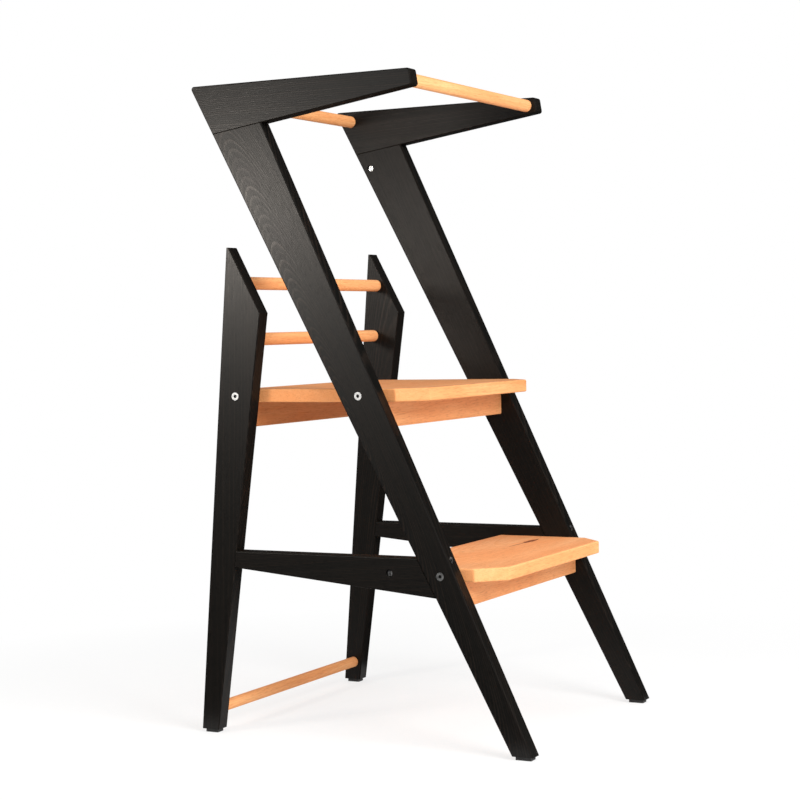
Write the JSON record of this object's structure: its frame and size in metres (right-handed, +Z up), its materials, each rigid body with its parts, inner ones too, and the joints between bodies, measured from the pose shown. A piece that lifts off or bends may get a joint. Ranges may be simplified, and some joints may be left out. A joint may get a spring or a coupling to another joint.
{
  "type": "toddler kitchen helper stool",
  "caption": "Beech step tower for a toddler: black side frames that lean together, a standing platform, a lower step, and round guard bars at the back and at hand height.",
  "frame": {"origin": "on the floor, under the centre of the stool's width and of its depth from rear heel to front toe", "axes": "+Z up; -Y to the front, where the child climbs in; X across the width, left is -X"},
  "size_m": [0.432, 0.505, 0.9],
  "materials": {
    "black_stained_beech": "black stain, open grain, satin",
    "natural_beech": "clear oil, satin",
    "beech_pin": "plain, fluted dowel stock",
    "zinc_steel": "bright zinc plated",
    "black_glide": "matte"
  },
  "bodies": {
    "root": {"arm_bolt_left": "zinc_steel", "arm_bolt_right": "zinc_steel", "arm_left": "black_stained_beech", "arm_nut_left": "zinc_steel", "arm_nut_right": "zinc_steel", "arm_pin_left": "beech_pin", "arm_pin_right": "beech_pin", "arm_right": "black_stained_beech", "back_bar_lower": "natural_beech", "back_bar_upper": "natural_beech", "front_glide_left": "black_glide", "front_glide_right": "black_glide", "front_leg_left": "black_stained_beech", "front_leg_right": "black_stained_beech", "low_rear_bar": "natural_beech", "lower_step": "natural_beech", "platform": "natural_beech", "platform_front_apron": "natural_beech", "platform_front_apron_pin_left": "beech_pin", "platform_front_apron_pin_right": "beech_pin", "platform_front_screw_left": "zinc_steel", "platform_front_screw_right": "zinc_steel", "platform_rear_apron": "natural_beech", "platform_rear_apron_pin_left": "beech_pin", "platform_rear_apron_pin_right": "beech_pin", "platform_rear_screw_left": "zinc_steel", "platform_rear_screw_right": "zinc_steel", "rail_bolt_left": "zinc_steel", "rail_bolt_right": "zinc_steel", "rail_front_pin_left": "beech_pin", "rail_front_pin_right": "beech_pin", "rail_nut_left": "zinc_steel", "rail_nut_right": "zinc_steel", "rail_rear_pin_left": "beech_pin", "rail_rear_pin_right": "beech_pin", "rear_glide_left": "black_glide", "rear_glide_right": "black_glide", "rear_leg_left": "black_stained_beech", "rear_leg_right": "black_stained_beech", "side_rail_left": "black_stained_beech", "side_rail_right": "black_stained_beech", "step_apron": "natural_beech", "step_apron_pin_left": "beech_pin", "step_apron_pin_right": "beech_pin", "step_screw_left": "zinc_steel", "step_screw_right": "zinc_steel", "top_front_bar": "natural_beech", "top_rear_bar": "natural_beech"}
  },
  "joints": []
}
